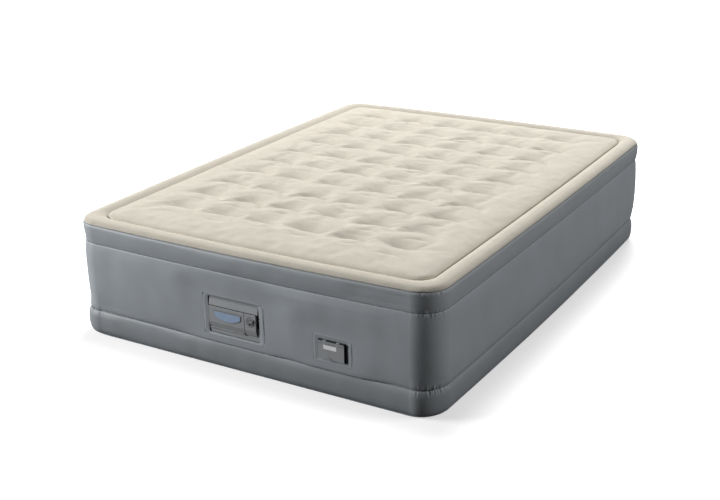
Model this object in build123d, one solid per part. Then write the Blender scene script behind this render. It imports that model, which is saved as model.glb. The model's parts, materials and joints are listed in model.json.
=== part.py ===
"""Raised double air mattress with a built-in electric pump and a hinged air-port box.

Frame: origin on the floor at the centre of the bed, +Z up, +Y along the bed's length.
The pump and the air port are in the end wall that faces -Y. All sizes are in millimetres.
Each sub-part is written to parts/NODE.step, where NODE is the key it has in SUBPARTS.
"""

import math
import os

from build123d import *

# ---------------------------------------------------------------- driving dimensions
LENGTH = 2030.0  # along Y, over the upper wall
WIDTH = 1520.0  # along X, over the upper wall
HEIGHT = 460.0  # floor to the crest of the rim
CORNER_RADIUS = 118.0  # plan radius of the outermost wall
SKIN = 2.5  # thickness every flexible sheet is drawn with
WELD_GAP = 0.5  # clearance left between sheets that are welded together

# Heights of the welds that divide the wall into three bands
Z_RIM_WELD = 440.0
Z_UPPER_SEAM = 368.0
Z_LOWER_SEAM = 100.0

# Insets: how far inside the outermost wall a feature lies
RIM_WELD_INSET = 5.0
UPPER_SEAM_INSET = 10.0
LOWER_SEAM_INSET = 14.0
FLOOR_INSET = 24.0
MAIN_BULGE_INSET = 2.5
BASE_BULGE_INSET = 4.0
RIM_WIDTH = 76.0  # from the outermost wall to the groove round the sleeping panel
PANEL_Z = 437.0  # top of the sleeping panel where its creases are pulled down
SEAM_BEAD = 1.6  # radius of a welded seam bead

# Fibre columns that quilt the sleeping panel, and the webs below them
COLUMNS_ACROSS = 6
COLUMNS_ALONG = 10
COLUMN_PITCH_X = 185.0
COLUMN_PITCH_Y = 163.0
COLUMN_SHIFT_Y = 42.0  # the quilting sits nearer the end without the pump
COLUMN_WIDTH = 110.0
COLUMN_THICKNESS = 4.0
POSTS_ACROSS = 5
POSTS_ALONG = 6
POST_PITCH_X = 230.0
POST_PITCH_Y = 240.0
BASE_WEBS = 7
BASE_WEB_PITCH = 180.0
VENT_SIZE = (90.0, 30.0)  # air passages through the internal sheets

# Pump and air-port box: each stands on the floor of a shallow dish let into the end wall
DEVICE_INSET = 13.0
DISH_DEPTH = 7.0
PUMP_X, PUMP_Z = -30.0, 202.0
PORT_X, PORT_Z = 373.0, 175.5
PUMP = Plane(
    origin=(PUMP_X, -LENGTH / 2 + DEVICE_INSET, PUMP_Z), x_dir=(1, 0, 0), z_dir=(0, -1, 0)
)
PORT = Plane(
    origin=(PORT_X, -LENGTH / 2 + DEVICE_INSET, PORT_Z), x_dir=(1, 0, 0), z_dir=(0, -1, 0)
)
# In both planes u runs to the right, w up, and n out of the wall.

COLLAR_MARGIN = 0.6  # gap between a collar and the wall's cut-out
PUMP_COLLAR = (257.0, 157.0, 16.0)  # width, height, corner radius
PORT_COLLAR = (146.0, 102.0, 12.0)
COLLAR_FIT = 0.6  # gap between a collar and the moulding it is welded round
FACE = (214.0, 137.0, 8.0)
FACE_PLATE = 2.5
HOUSING = (204.0, 126.0, 8.0)
HOUSING_WALL = 2.5
HOUSING_DEPTH = 138.0
REAR_COVER = 3.0

# Cord door: a wedge that hinges on its lower edge
DOOR_U = (-103.0, 47.0)
DOOR_W = (-46.0, 34.0)
DOOR_FRONT = 8.0
DOOR_BACK = 0.5
DOOR_KNEE_W = -26.0
DOOR_LIP = 3.0
DOOR_AXIS_W, DOOR_AXIS_N = -48.2, 2.6
DOOR_KNUCKLE = 2.1
PIN_RADIUS = 1.0
PIN_CLEARANCE = 0.05
DOOR_EAR = 4.6  # length of each fixed ear along the hinge
BADGE_U = (-80.0, 34.0)
BADGE_W = (-16.0, 20.0)
INTAKE = (9.0, 50.0, 4.4)  # air intake slot at the right-hand end: width, height, radius
INTAKE_CENTRE = (101.5, 8.0)

# Power cord, stowed in the tray behind the door
CORD_RADIUS = 2.7
CORD_ENTRY_U, CORD_ENTRY_W, CORD_ENTRY_N = 44.0, 18.0, -37.0
PLUG_CENTRE = (-28.0, -13.0)

# Selector and the diverter it turns
SELECTOR = (76.0, 6.0)  # u, w
KNOB_RADIUS = 17.5
SHAFT_RADIUS = 3.95
DRUM_RADIUS = 20.0
DRUM_N = (-98.0, -58.0)
DIVERTER_WALL = 2.5

# Motor and fan, on one axis along u
MOTOR_W, MOTOR_N = -4.0, -92.0
MOTOR_RADIUS = 26.0
MOTOR_U = (-60.0, 14.0)
MOTOR_SHAFT_RADIUS = 2.5
IMPELLER_RADIUS = 37.0
IMPELLER_BLADES = 9
SHROUD_RADIUS = 42.0
SHROUD_U = (18.5, 44.0)
SHROUD_WALL = 2.0

# Air-port box
TUB = (110.0, 68.0, 5.0)
TUB_WALL = 2.0
TUB_FRONT = 8.0
TUB_FLOOR = -30.0
PORT_RADIUS = 12.5
PORT_TUBE = 15.5
PORT_MOUTH = 3.0
LID_THICKNESS = 3.0
LID_AXIS_W, LID_AXIS_N = 34.0, 10.9
LID_U = (-53.0, 47.0)  # the lid stops short of the box's right side, for a fingertip
LID_KNUCKLE = 2.2
LID_KNUCKLES_U = (-28.0, 24.0)
LID_KNUCKLE_LENGTH = 12.0
LABEL = (51.0, 15.0)
LABEL_CENTRE = (-7.0, 10.5)
TAB_U = -10.0  # middle of the thumb tab
CREASE_W = 23.0  # height of the broken crease across the lid
CREASES_U = ((-51.0, -36.0), (-23.0, 12.0), (22.0, 45.0))
FLAP_THICKNESS = 2.0


# ---------------------------------------------------------------- shape helpers
def slab(plane, size, n_low, n_high, centre=(0.0, 0.0)):
    """A rounded rectangle (width, height, corner radius) on plane, from n_low to n_high."""
    width, height, radius = size
    outline = Pos(centre[0], centre[1], n_low) * RectangleRounded(width, height, radius)
    return extrude(plane * outline, amount=n_high - n_low)


def block(plane, u, w, n):
    """A box between two values each of u, w and n."""
    middle = Pos((u[0] + u[1]) / 2, (w[0] + w[1]) / 2, (n[0] + n[1]) / 2)
    return plane * (middle * Box(u[1] - u[0], w[1] - w[0], n[1] - n[0]))


def disc(plane, radius, n_low, n_high, centre=(0.0, 0.0)):
    """A cylinder along n."""
    middle = Pos(centre[0], centre[1], (n_low + n_high) / 2)
    return plane * (middle * Cylinder(radius, n_high - n_low))


def bar(plane, radius, u_low, u_high, w, n):
    """A cylinder along u."""
    middle = Pos((u_low + u_high) / 2, w, n) * Rot(0, 90, 0)
    return plane * (middle * Cylinder(radius, u_high - u_low))


def prism(plane, outline, u_low, u_high):
    """A polygon of (n, w) points, drawn out along u."""
    points = [Vector(u_low, w, n) for n, w in outline]
    face = make_face(Polyline(*points, close=True))
    return plane * extrude(face, amount=u_high - u_low, dir=(1, 0, 0))


def bulged_section(start, crest, end, thickness=SKIN):
    """An arc of sheet through three (inset, z) points, thickened towards the arc's centre."""
    arc = ThreePointArc(start, crest, end)
    centre = arc.arc_center
    inner = []
    for point in (start, crest, end):
        outward = Vector(*point) - centre
        inner.append(centre + outward.normalized() * (outward.length - thickness))
    return make_face(
        [
            arc,
            Line(Vector(*end), inner[2]),
            ThreePointArc(inner[2], inner[1], inner[0]),
            Line(inner[0], Vector(*start)),
        ]
    )


def wall_ring(section):
    """Carries an (inset, z) section once round the bed's rounded rectangle."""
    pieces = []
    for quarter, (side_x, side_y) in enumerate(((1, 1), (-1, 1), (-1, -1), (1, -1))):
        outward = Vector(1, 0, 0).rotate(Axis.Z, 90 * quarter)
        onward = Vector(0, 1, 0).rotate(Axis.Z, 90 * quarter)
        corner = Vector(
            side_x * (WIDTH / 2 - CORNER_RADIUS), side_y * (LENGTH / 2 - CORNER_RADIUS), 0
        )
        start = Plane(origin=corner + outward * CORNER_RADIUS, x_dir=-outward, z_dir=onward)
        end = Plane(origin=corner + onward * CORNER_RADIUS, x_dir=-onward, z_dir=-outward)
        side = (WIDTH if quarter % 2 == 0 else LENGTH) - 2 * CORNER_RADIUS
        pieces.append(revolve(start * section, axis=Axis(corner, (0, 0, 1)), revolution_arc=90))
        pieces.append(extrude(end * section, amount=side))
    return pieces[0].fuse(*pieces[1:])


def level_sheet(inset, z_low, z_high):
    """A horizontal sheet that follows the bed's outline at an inset."""
    outline = RectangleRounded(WIDTH - 2 * inset, LENGTH - 2 * inset, CORNER_RADIUS - inset)
    return extrude(Pos(0, 0, z_low) * outline, amount=z_high - z_low)


def seam_bead(inset, z):
    """A round welded bead that follows the bed's outline."""
    return wall_ring(Pos(inset, z) * Circle(SEAM_BEAD))


def grid(across, along, pitch_x, pitch_y):
    """Centres of a rectangular grid about the bed's middle."""
    for i in range(across):
        for j in range(along):
            yield (i - (across - 1) / 2) * pitch_x, (j - (along - 1) / 2) * pitch_y


def upright(x, y, size_x, size_y, z_low, z_high):
    """A vertical block centred on x, y."""
    return Pos(x, y, (z_low + z_high) / 2) * Box(size_x, size_y, z_high - z_low)


# ---------------------------------------------------------------- envelope
def rim_bolster():
    start = (RIM_WELD_INSET, Z_RIM_WELD + 2 * SEAM_BEAD + WELD_GAP)
    crest = (RIM_WIDTH * 0.5, HEIGHT)
    end = (RIM_WIDTH - 1.0, PANEL_Z - 1.0)
    return wall_ring(bulged_section(start, crest, end))


def rim_weld():
    return seam_bead(RIM_WELD_INSET + SEAM_BEAD / 2, Z_RIM_WELD)


def panel_weld():
    return seam_bead(RIM_WIDTH + SEAM_BEAD + 2 * WELD_GAP, PANEL_Z - SKIN - SEAM_BEAD - WELD_GAP)


def top_sheet():
    return level_sheet(RIM_WIDTH + WELD_GAP, PANEL_Z - SKIN, PANEL_Z)


def upper_wall():
    half = SEAM_BEAD + WELD_GAP
    start = (RIM_WELD_INSET, Z_RIM_WELD - half)
    crest = (0.0, (Z_RIM_WELD + Z_UPPER_SEAM) / 2 + 4)
    end = (UPPER_SEAM_INSET, Z_UPPER_SEAM + half)
    return wall_ring(bulged_section(start, crest, end))


def upper_seam():
    return seam_bead(UPPER_SEAM_INSET + SEAM_BEAD, Z_UPPER_SEAM)


def main_wall():
    half = SEAM_BEAD + WELD_GAP
    start = (UPPER_SEAM_INSET, Z_UPPER_SEAM - half)
    crest = (MAIN_BULGE_INSET, (Z_UPPER_SEAM + Z_LOWER_SEAM) / 2 + 10)
    end = (LOWER_SEAM_INSET, Z_LOWER_SEAM + half)
    wall = wall_ring(bulged_section(start, crest, end))
    for plane, (width, height, radius) in ((PUMP, PUMP_COLLAR), (PORT, PORT_COLLAR)):
        cutout = (width + 2 * COLLAR_MARGIN, height + 2 * COLLAR_MARGIN, radius)
        wall -= slab(plane, cutout, -2 * LOWER_SEAM_INSET, 2 * DEVICE_INSET)
    return wall


def lower_seam():
    return seam_bead(LOWER_SEAM_INSET + SEAM_BEAD, Z_LOWER_SEAM)


def base_wall():
    half = SEAM_BEAD + WELD_GAP
    start = (LOWER_SEAM_INSET, Z_LOWER_SEAM - half)
    crest = (BASE_BULGE_INSET, Z_LOWER_SEAM * 0.45)
    end = (FLOOR_INSET - SEAM_BEAD, SKIN + WELD_GAP)
    return wall_ring(bulged_section(start, crest, end))


def bottom_sheet():
    return level_sheet(FLOOR_INSET - 2 * SEAM_BEAD, 0, SKIN)


def comfort_diaphragm():
    """The internal sheet at the upper seam that the fibre columns pull against."""
    sheet = level_sheet(UPPER_SEAM_INSET + 4 * SEAM_BEAD, Z_UPPER_SEAM - SKIN, Z_UPPER_SEAM)
    return with_vents(sheet, Z_UPPER_SEAM)


def base_diaphragm():
    """The internal sheet at the lower seam."""
    sheet = level_sheet(LOWER_SEAM_INSET + 4 * SEAM_BEAD, Z_LOWER_SEAM - SKIN, Z_LOWER_SEAM)
    return with_vents(sheet, Z_LOWER_SEAM)


def with_vents(sheet, z):
    """Cuts one air slot near each corner of an internal sheet, clear of columns and posts."""
    for x, y in grid(2, 2, WIDTH - 330, LENGTH - 330):
        sheet -= upright(x, y, *VENT_SIZE, z - 2 * SKIN, z + 2 * SKIN)
    return sheet


def fibre_columns():
    """One flat bundle of fibres under each dimple of the sleeping panel."""
    low, high = Z_UPPER_SEAM + WELD_GAP, PANEL_Z - SKIN - WELD_GAP
    centres = grid(COLUMNS_ACROSS, COLUMNS_ALONG, COLUMN_PITCH_X, COLUMN_PITCH_Y)
    return Compound(
        [
            upright(x, y + COLUMN_SHIFT_Y, COLUMN_WIDTH, COLUMN_THICKNESS, low, high)
            for x, y in centres
        ]
    )


def support_posts():
    """Fibre posts between the two internal sheets, behind the pump and the air port."""
    low, high = Z_LOWER_SEAM + WELD_GAP, Z_UPPER_SEAM - SKIN - WELD_GAP
    centres = grid(POSTS_ACROSS, POSTS_ALONG, POST_PITCH_X, POST_PITCH_Y)
    return Compound(
        [upright(x, y, COLUMN_WIDTH, COLUMN_THICKNESS, low, high) for x, y in centres]
    )


def base_webs():
    """Long webs that hold the base chamber flat."""
    low, high = SKIN + WELD_GAP, Z_LOWER_SEAM - SKIN - WELD_GAP
    centres = grid(BASE_WEBS, 1, BASE_WEB_PITCH, 0)
    return Compound(
        [upright(x, y, COLUMN_THICKNESS, LENGTH - 360, low, high) for x, y in centres]
    )


# ---------------------------------------------------------------- pump: casing
def dished_collar(plane, size, moulding):
    """A dish of sheet whose rim meets the wall's cut-out and whose floor rings a moulding."""
    width, height, radius = size
    floor = (width - 2 * SKIN, height - 2 * SKIN, radius - SKIN)
    opening = (moulding[0] + 2 * COLLAR_FIT, moulding[1] + 2 * COLLAR_FIT, moulding[2] + COLLAR_FIT)
    dish = slab(plane, size, -SKIN, DISH_DEPTH) - slab(plane, floor, 0, 2 * DISH_DEPTH)
    return dish - slab(plane, opening, -10, 10)


def pump_collar():
    return dished_collar(PUMP, PUMP_COLLAR, FACE)


def faceplate():
    """The fixed front: a flat fascia, the console round the knob, and the door's hinge ears."""
    width, height, _ = FACE
    plate = slab(PUMP, FACE, -FACE_PLATE, 0)
    console_u = (DOOR_U[1] + 2, INTAKE_CENTRE[0] - INTAKE[0] / 2 - 1)
    plate += prism(PUMP, door_profile(0), *console_u)
    for low in (DOOR_U[0], DOOR_U[1] - DOOR_EAR):
        ear_w = (DOOR_AXIS_W - DOOR_KNUCKLE, DOOR_AXIS_W + DOOR_KNUCKLE - 0.4)
        plate += block(PUMP, (low, low + DOOR_EAR), ear_w, (0, DOOR_AXIS_N + DOOR_KNUCKLE))
    plate += hood(width, height)
    plate -= bar(
        PUMP, PIN_RADIUS + PIN_CLEARANCE, DOOR_U[0], DOOR_U[1], DOOR_AXIS_W, DOOR_AXIS_N
    )
    plate -= block(PUMP, (DOOR_U[0] + 7, DOOR_U[1] - 5), (DOOR_W[0] + 6, DOOR_W[1] - 6), (-9, 9))
    plate -= disc(PUMP, KNOB_RADIUS + 1, 2, 20, SELECTOR)
    plate -= disc(PUMP, SHAFT_RADIUS + 0.35, -9, 9, SELECTOR)
    return plate - slab(PUMP, INTAKE, -9, 9, INTAKE_CENTRE)


def hood(width, height):
    """A shallow visor over the door and the console."""
    low, high = DOOR_W[1] + 1.5, height / 2 - 8
    outline = [(-0.5, low), (4.5, low), (5.0, low + 1.5), (0.6, high), (-0.5, high)]
    return prism(PUMP, outline, DOOR_U[0], width / 2 - 4)


def door_profile(back):
    """(n, w) outline shared by the door and the console: thick above, thin at the hinge."""
    low, high = DOOR_W
    return [
        (back, high),
        (DOOR_FRONT - 1, high),
        (DOOR_FRONT, high - 1),
        (DOOR_FRONT, DOOR_KNEE_W),
        (DOOR_LIP, low),
        (back, low),
    ]


def pump_housing():
    """An open-ended rectangular tube behind the faceplate."""
    width, height, radius = HOUSING
    inner = (width - 2 * HOUSING_WALL, height - 2 * HOUSING_WALL, radius - HOUSING_WALL)
    front = -FACE_PLATE - WELD_GAP / 5
    return slab(PUMP, HOUSING, -HOUSING_DEPTH, front) - slab(PUMP, inner, -200, 10)


def rear_cover():
    """Closes the housing, and carries the outlet and the outlet flap's ears."""
    back = -HOUSING_DEPTH - REAR_COVER
    cover = slab(PUMP, HOUSING, back, -HOUSING_DEPTH - 0.1)
    cover -= disc(PUMP, DRUM_RADIUS - 2, -200, 0, SELECTOR)
    for u, w in screw_centres():
        cover -= disc(PUMP, 1.7, -200, 0, (u, w))
    flap_w, flap_n = SELECTOR[1] + 24, back - 2.6
    for side in (-1, 1):
        ear_u = sorted((SELECTOR[0] + side * 8.5, SELECTOR[0] + side * 12))
        cover += block(PUMP, ear_u, (flap_w - 2, flap_w + 2), (flap_n - 2, back + 0.5))
    cover -= bar(PUMP, PIN_RADIUS + PIN_CLEARANCE, 40, 120, flap_w, flap_n)
    return cover


def screw_centres():
    width, height, _ = HOUSING
    for u in (-width / 2 + 8, width / 2 - 8):
        for w in (-height / 2 + 8, height / 2 - 8):
            yield u, w


def screw_bosses():
    """Four posts inside the housing that the cover's screws bite into."""
    bosses = []
    for u, w in screw_centres():
        boss = disc(PUMP, 4.5, -HOUSING_DEPTH, -HOUSING_DEPTH + 20, (u, w))
        bosses.append(boss - disc(PUMP, 1.25, -200, -HOUSING_DEPTH + 14, (u, w)))
    return Compound(bosses)


def cover_screws():
    """Pan-head screws with a slotted drive."""
    screws = []
    back = -HOUSING_DEPTH - REAR_COVER
    for u, w in screw_centres():
        screw = disc(PUMP, 3.0, back - 2, back - 0.05, (u, w))
        screw += disc(PUMP, 1.2, back - 0.05, -HOUSING_DEPTH + 12, (u, w))
        screw -= block(PUMP, (u - 4, u + 4), (w - 0.4, w + 0.4), (back - 3, back - 1.2))
        screws.append(screw)
    return Compound(screws)


# ---------------------------------------------------------------- pump: cord bay
def cord_door():
    door = prism(PUMP, door_profile(DOOR_BACK), *DOOR_U)
    knuckle_u = (DOOR_U[0] + DOOR_EAR + 0.4, DOOR_U[1] - DOOR_EAR - 0.4)
    for end_u in ((DOOR_U[0] - 1, knuckle_u[0]), (knuckle_u[1], DOOR_U[1] + 1)):
        door -= block(PUMP, end_u, (DOOR_W[0] - 1, DOOR_W[0] + 4), (-9, 9))
    pocket_w = (DOOR_KNEE_W + 2, DOOR_W[1] - 2)
    door -= block(PUMP, (DOOR_U[0] + 2, DOOR_U[1] - 2), pocket_w, (0, DOOR_FRONT - 2))
    door += block(PUMP, knuckle_u, (DOOR_AXIS_W, DOOR_W[0] + 1.5), (1.2, DOOR_LIP))
    door += bar(PUMP, DOOR_KNUCKLE, *knuckle_u, DOOR_AXIS_W, DOOR_AXIS_N)
    door -= bar(
        PUMP, PIN_RADIUS + PIN_CLEARANCE, DOOR_U[0] - 1, DOOR_U[1] + 1, DOOR_AXIS_W, DOOR_AXIS_N
    )
    return door + boat(0, DOOR_FRONT - 0.5, DOOR_FRONT + 1.5) - boat(
        2, DOOR_FRONT + 0.6, DOOR_FRONT + 2
    )


def boat(margin, n_low, n_high):
    """The door's grip: a straight top edge over a bowed bottom edge."""
    left, right = BADGE_U[0] + margin, BADGE_U[1] - margin
    low, high = BADGE_W[0] + margin, BADGE_W[1] - margin
    shoulder = (low + high) / 2
    outline = make_face(
        [
            Line((left, high), (right, high)),
            Line((right, high), (right, shoulder)),
            ThreePointArc((right, shoulder), ((left + right) / 2, low), (left, shoulder)),
            Line((left, shoulder), (left, high)),
        ]
    )
    return extrude(PUMP * (Pos(0, 0, n_low) * outline), amount=n_high - n_low)


def door_badge():
    return boat(2.3, DOOR_FRONT + 0.6, DOOR_FRONT + 1.8)


def door_pin():
    return bar(PUMP, PIN_RADIUS, DOOR_U[0], DOOR_U[1], DOOR_AXIS_W, DOOR_AXIS_N)


def cord_tray():
    """The bay behind the door that the power cord stows in."""
    u, w = (DOOR_U[0] + 5, DOOR_U[1] - 3), (DOOR_W[0] + 4, DOOR_W[1] - 4)
    front = -FACE_PLATE - 0.1
    tray = block(PUMP, u, w, (-44, front))
    inside = (u[0] + 2, u[1] - 2), (w[0] + 2, w[1] - 2)
    tray -= block(PUMP, *inside, (-42, 0))
    return tray - bar(PUMP, 3.4, 30, 60, CORD_ENTRY_W, CORD_ENTRY_N)


def power_cord():
    """Two and a half turns of cable stowed in the tray, from its side wall to the plug."""
    centre_u, centre_w, half_u, half_w = -28.0, -5.0, 54.0, 23.0
    path = [(u, CORD_ENTRY_W, CORD_ENTRY_N) for u in (54, 48, 42, 36, 30, 22, 12, 0)]
    turns, steps = 2, 12
    for k in range(1, turns * steps + steps // 2 + 1):
        angle = math.pi * (0.5 + 2 * k / steps)
        height = CORD_ENTRY_N + 6.8 * k / steps + 1.6 * max(0, k - turns * steps)
        path.append((centre_u + half_u * math.cos(angle), centre_w + half_w * math.sin(angle), height))
    coil = Spline(*path)
    return PUMP * sweep(Plane(coil @ 0, z_dir=coil % 0) * Circle(CORD_RADIUS), path=coil)


def cord_grommet():
    """Strain relief where the cord comes through the tray's side wall."""
    entry = (CORD_ENTRY_W, CORD_ENTRY_N)
    grommet = bar(PUMP, 3.3, CORD_ENTRY_U - 4, CORD_ENTRY_U + 3, *entry)
    grommet += bar(PUMP, 4.2, CORD_ENTRY_U - 4, CORD_ENTRY_U - 2.1, *entry)
    return grommet - bar(PUMP, CORD_RADIUS + 0.1, 0, 60, *entry)


def power_plug():
    """A moulded plug with two flat blades."""
    w, n = PLUG_CENTRE
    body = block(PUMP, (-26, 4), (w - 8, w + 8), (n - 8, n + 8))
    for blade_w in (w - 4.5, w + 4.5):
        body += block(PUMP, (4, 20), (blade_w - 0.75, blade_w + 0.75), (n - 3, n + 3))
    return body


# ---------------------------------------------------------------- pump: selector and diverter
def selector_knob():
    """A round knob with a raised arrow-shaped grip and a fingertip recess below it."""
    u, w = SELECTOR
    knob = disc(PUMP, KNOB_RADIUS, 2.4, 7.4, SELECTOR)
    tip, back, half = u - KNOB_RADIUS + 1.5, u + 12.5, 9.5
    outline = make_face(
        Polyline((tip, w), (back, w + half), (back - 6, w), (back, w - half), close=True)
    )
    knob += extrude(PUMP * (Pos(0, 0, 7) * outline), amount=3.6)
    knob -= slab(PUMP, (22.0, 8.0, 3.9), 3.2, 20, (u + 1, w - 8.5))
    return knob - disc(PUMP, SHAFT_RADIUS + 0.05, 0, 5.5, SELECTOR)


def selector_shaft():
    return disc(PUMP, SHAFT_RADIUS, DRUM_N[0] - 1, 5.4, SELECTOR)


def diverter_drum():
    """A drum with one cross passage, which joins the fan to the bed or to the room."""
    drum = disc(PUMP, DRUM_RADIUS, *DRUM_N, SELECTOR)
    u, w = SELECTOR
    drum -= block(PUMP, (u - 30, u - 6), (w - 9, w + 9), (DRUM_N[0] - 1, DRUM_N[1] - 8))
    return drum - disc(PUMP, SHAFT_RADIUS + 0.05, -200, 0, SELECTOR)


def diverter_housing():
    outer = DRUM_RADIUS + 0.4 + DIVERTER_WALL
    shell = disc(PUMP, outer, DRUM_N[0] - 0.5, DRUM_N[1] + 2.5, SELECTOR)
    shell -= disc(PUMP, DRUM_RADIUS + 0.4, -200, DRUM_N[1] + 0.4, SELECTOR)
    shell -= disc(PUMP, SHAFT_RADIUS + 0.1, -200, 0, SELECTOR)
    u, w = SELECTOR
    return shell - block(PUMP, (u - 40, u - 10), (w - 8, w + 8), (-88, -70))


def air_duct():
    """The short duct from the fan's shroud to the diverter."""
    u, w = SELECTOR
    outside = block(PUMP, (SHROUD_U[1] + 0.2, u - 10), (w - 11, w + 11), (-91, -67))
    inside = block(PUMP, (SHROUD_U[1] - 5, u), (w - 8, w + 8), (-88, -70))
    clear = disc(PUMP, DRUM_RADIUS + DIVERTER_WALL + 0.7, -200, 0, SELECTOR)
    return outside - inside - clear


def outlet_duct():
    front = DRUM_N[0] - 1.2
    tube = disc(PUMP, DRUM_RADIUS + 1, -HOUSING_DEPTH + 0.1, front, SELECTOR)
    return tube - disc(PUMP, DRUM_RADIUS - 1, -200, 0, SELECTOR)


def outlet_flap():
    """The one-way flap behind the pump, hung from its upper edge."""
    u, w = SELECTOR
    back = -HOUSING_DEPTH - REAR_COVER
    flap_w, flap_n = w + 24, back - 2.6
    flap = disc(PUMP, DRUM_RADIUS, back - 0.3 - FLAP_THICKNESS, back - 0.3, SELECTOR)
    flap += block(PUMP, (u - 7.5, u + 7.5), (w + 15, flap_w), (back - 3.4, back - 1.4))
    flap += bar(PUMP, 1.9, u - 7.5, u + 7.5, flap_w, flap_n)
    return flap - bar(PUMP, PIN_RADIUS + PIN_CLEARANCE, u - 9, u + 9, flap_w, flap_n)


def outlet_flap_pin():
    back = -HOUSING_DEPTH - REAR_COVER
    u = SELECTOR[0]
    return bar(PUMP, PIN_RADIUS, u - 12, u + 12, SELECTOR[1] + 24, back - 2.6)


# ---------------------------------------------------------------- pump: motor and fan
def motor_bar(radius, u_low, u_high):
    return bar(PUMP, radius, u_low, u_high, MOTOR_W, MOTOR_N)


def motor_can():
    low, high = MOTOR_U
    can = motor_bar(MOTOR_RADIUS, low, high) - motor_bar(MOTOR_RADIUS - 1.5, low + 1.5, high - 1.5)
    return can - motor_bar(6.1, low - 9, high + 9)


def motor_stator():
    low, high = MOTOR_U
    return motor_bar(MOTOR_RADIUS - 1.6, low + 14, high - 14) - motor_bar(19, low, high)


def motor_bearings():
    ends = (MOTOR_U[0], MOTOR_U[1] - 4)
    rings = [
        motor_bar(6, low, low + 4) - motor_bar(MOTOR_SHAFT_RADIUS + 0.05, low - 1, low + 5)
        for low in ends
    ]
    return Compound(rings)


def motor_shaft():
    return motor_bar(MOTOR_SHAFT_RADIUS, MOTOR_U[0] - 3, SHROUD_U[0] + 19)


def motor_armature():
    low, high = MOTOR_U
    core = motor_bar(17.5, low + 16, high - 16)
    for k in range(8):
        angle = math.radians(45 * k)
        w = MOTOR_W + 17.5 * math.sin(angle)
        n = MOTOR_N + 17.5 * math.cos(angle)
        core -= bar(PUMP, 2.5, low, high, w, n)
    return core - motor_bar(MOTOR_SHAFT_RADIUS + 0.02, low, high)


def motor_mounts():
    """Two rubber rings that carry the motor in its cradle."""
    rings = []
    for low in (MOTOR_U[0] + 8, MOTOR_U[1] - 16):
        rings.append(motor_bar(30, low, low + 8) - motor_bar(MOTOR_RADIUS + 0.05, low - 1, low + 9))
    return Compound(rings)


def motor_cradle():
    """Two saddles on one base, under the rubber rings."""
    floor = -HOUSING[1] / 2 + HOUSING_WALL + 0.1
    cradle = block(PUMP, (MOTOR_U[0], MOTOR_U[1]), (floor, floor + 4), (-122, -62))
    for low in (MOTOR_U[0] + 9, MOTOR_U[1] - 15):
        cradle += block(PUMP, (low, low + 6), (floor, MOTOR_W - 12), (-122, -62))
    return cradle - motor_bar(30.1, MOTOR_U[0] - 1, MOTOR_U[1] + 1)


def impeller():
    """A backed centrifugal wheel with straight radial blades."""
    low = SHROUD_U[0] + 4
    wheel = motor_bar(IMPELLER_RADIUS, low, low + 1.5) + motor_bar(7, low, low + 14)
    centre = PUMP * Pos(low + 7, MOTOR_W, MOTOR_N)
    blade = Box(12, IMPELLER_RADIUS - 8, 1.5)
    for k in range(IMPELLER_BLADES):
        turn = Rot(360 * k / IMPELLER_BLADES, 0, 0)
        wheel += centre * turn * Pos(0, 6 + (IMPELLER_RADIUS - 8) / 2, 0) * blade
    return wheel - motor_bar(MOTOR_SHAFT_RADIUS + 0.02, low - 1, low + 20)


def fan_shroud():
    """The drum round the impeller, open to the motor side and to the duct."""
    low, high = SHROUD_U
    inner = SHROUD_RADIUS - SHROUD_WALL
    shroud = motor_bar(SHROUD_RADIUS, low, high)
    shroud -= motor_bar(inner, low + SHROUD_WALL, high - SHROUD_WALL)
    shroud -= motor_bar(16, low - 1, low + 4)
    u, w = SELECTOR
    return shroud - block(PUMP, (high - 4, u), (w - 8, w + 8), (-88, -70))


def control_board():
    """The pump's circuit board, with its relay and capacitor."""
    board = block(PUMP, (-86, -20), (46, 47.6), (-118, -62))
    board += block(PUMP, (-80, -62), (36, 46), (-112, -96))
    return board + PUMP * (Pos(-40, 41, -78) * Rot(90, 0, 0) * Cylinder(5, 10))


def selector_switch():
    """The microswitch on the diverter, whose lever rides beside the selector's shaft."""
    u, w = SELECTOR
    front = DRUM_N[1] + 2.6
    return block(PUMP, (u - 10, u + 10), (w + 8, w + 18), (front, front + 7)) + block(
        PUMP, (u - 8, u + 8), (w + 5, w + 6), (front + 3, front + 5)
    ) + block(PUMP, (u - 8, u - 6), (w + 5, w + 9), (front + 3, front + 5))


# ---------------------------------------------------------------- air-port box
def port_collar():
    return dished_collar(PORT, PORT_COLLAR, TUB)


def lid_ear_spans():
    """The u ranges of the tub's hinge ears: between and outside the lid's two knuckles."""
    half = LID_KNUCKLE_LENGTH / 2 + 0.4
    left, right = LID_KNUCKLES_U
    outer = TUB[0] / 2 - 5
    return (-outer, left - half), (left + half, right - half), (right + half, outer)


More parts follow.
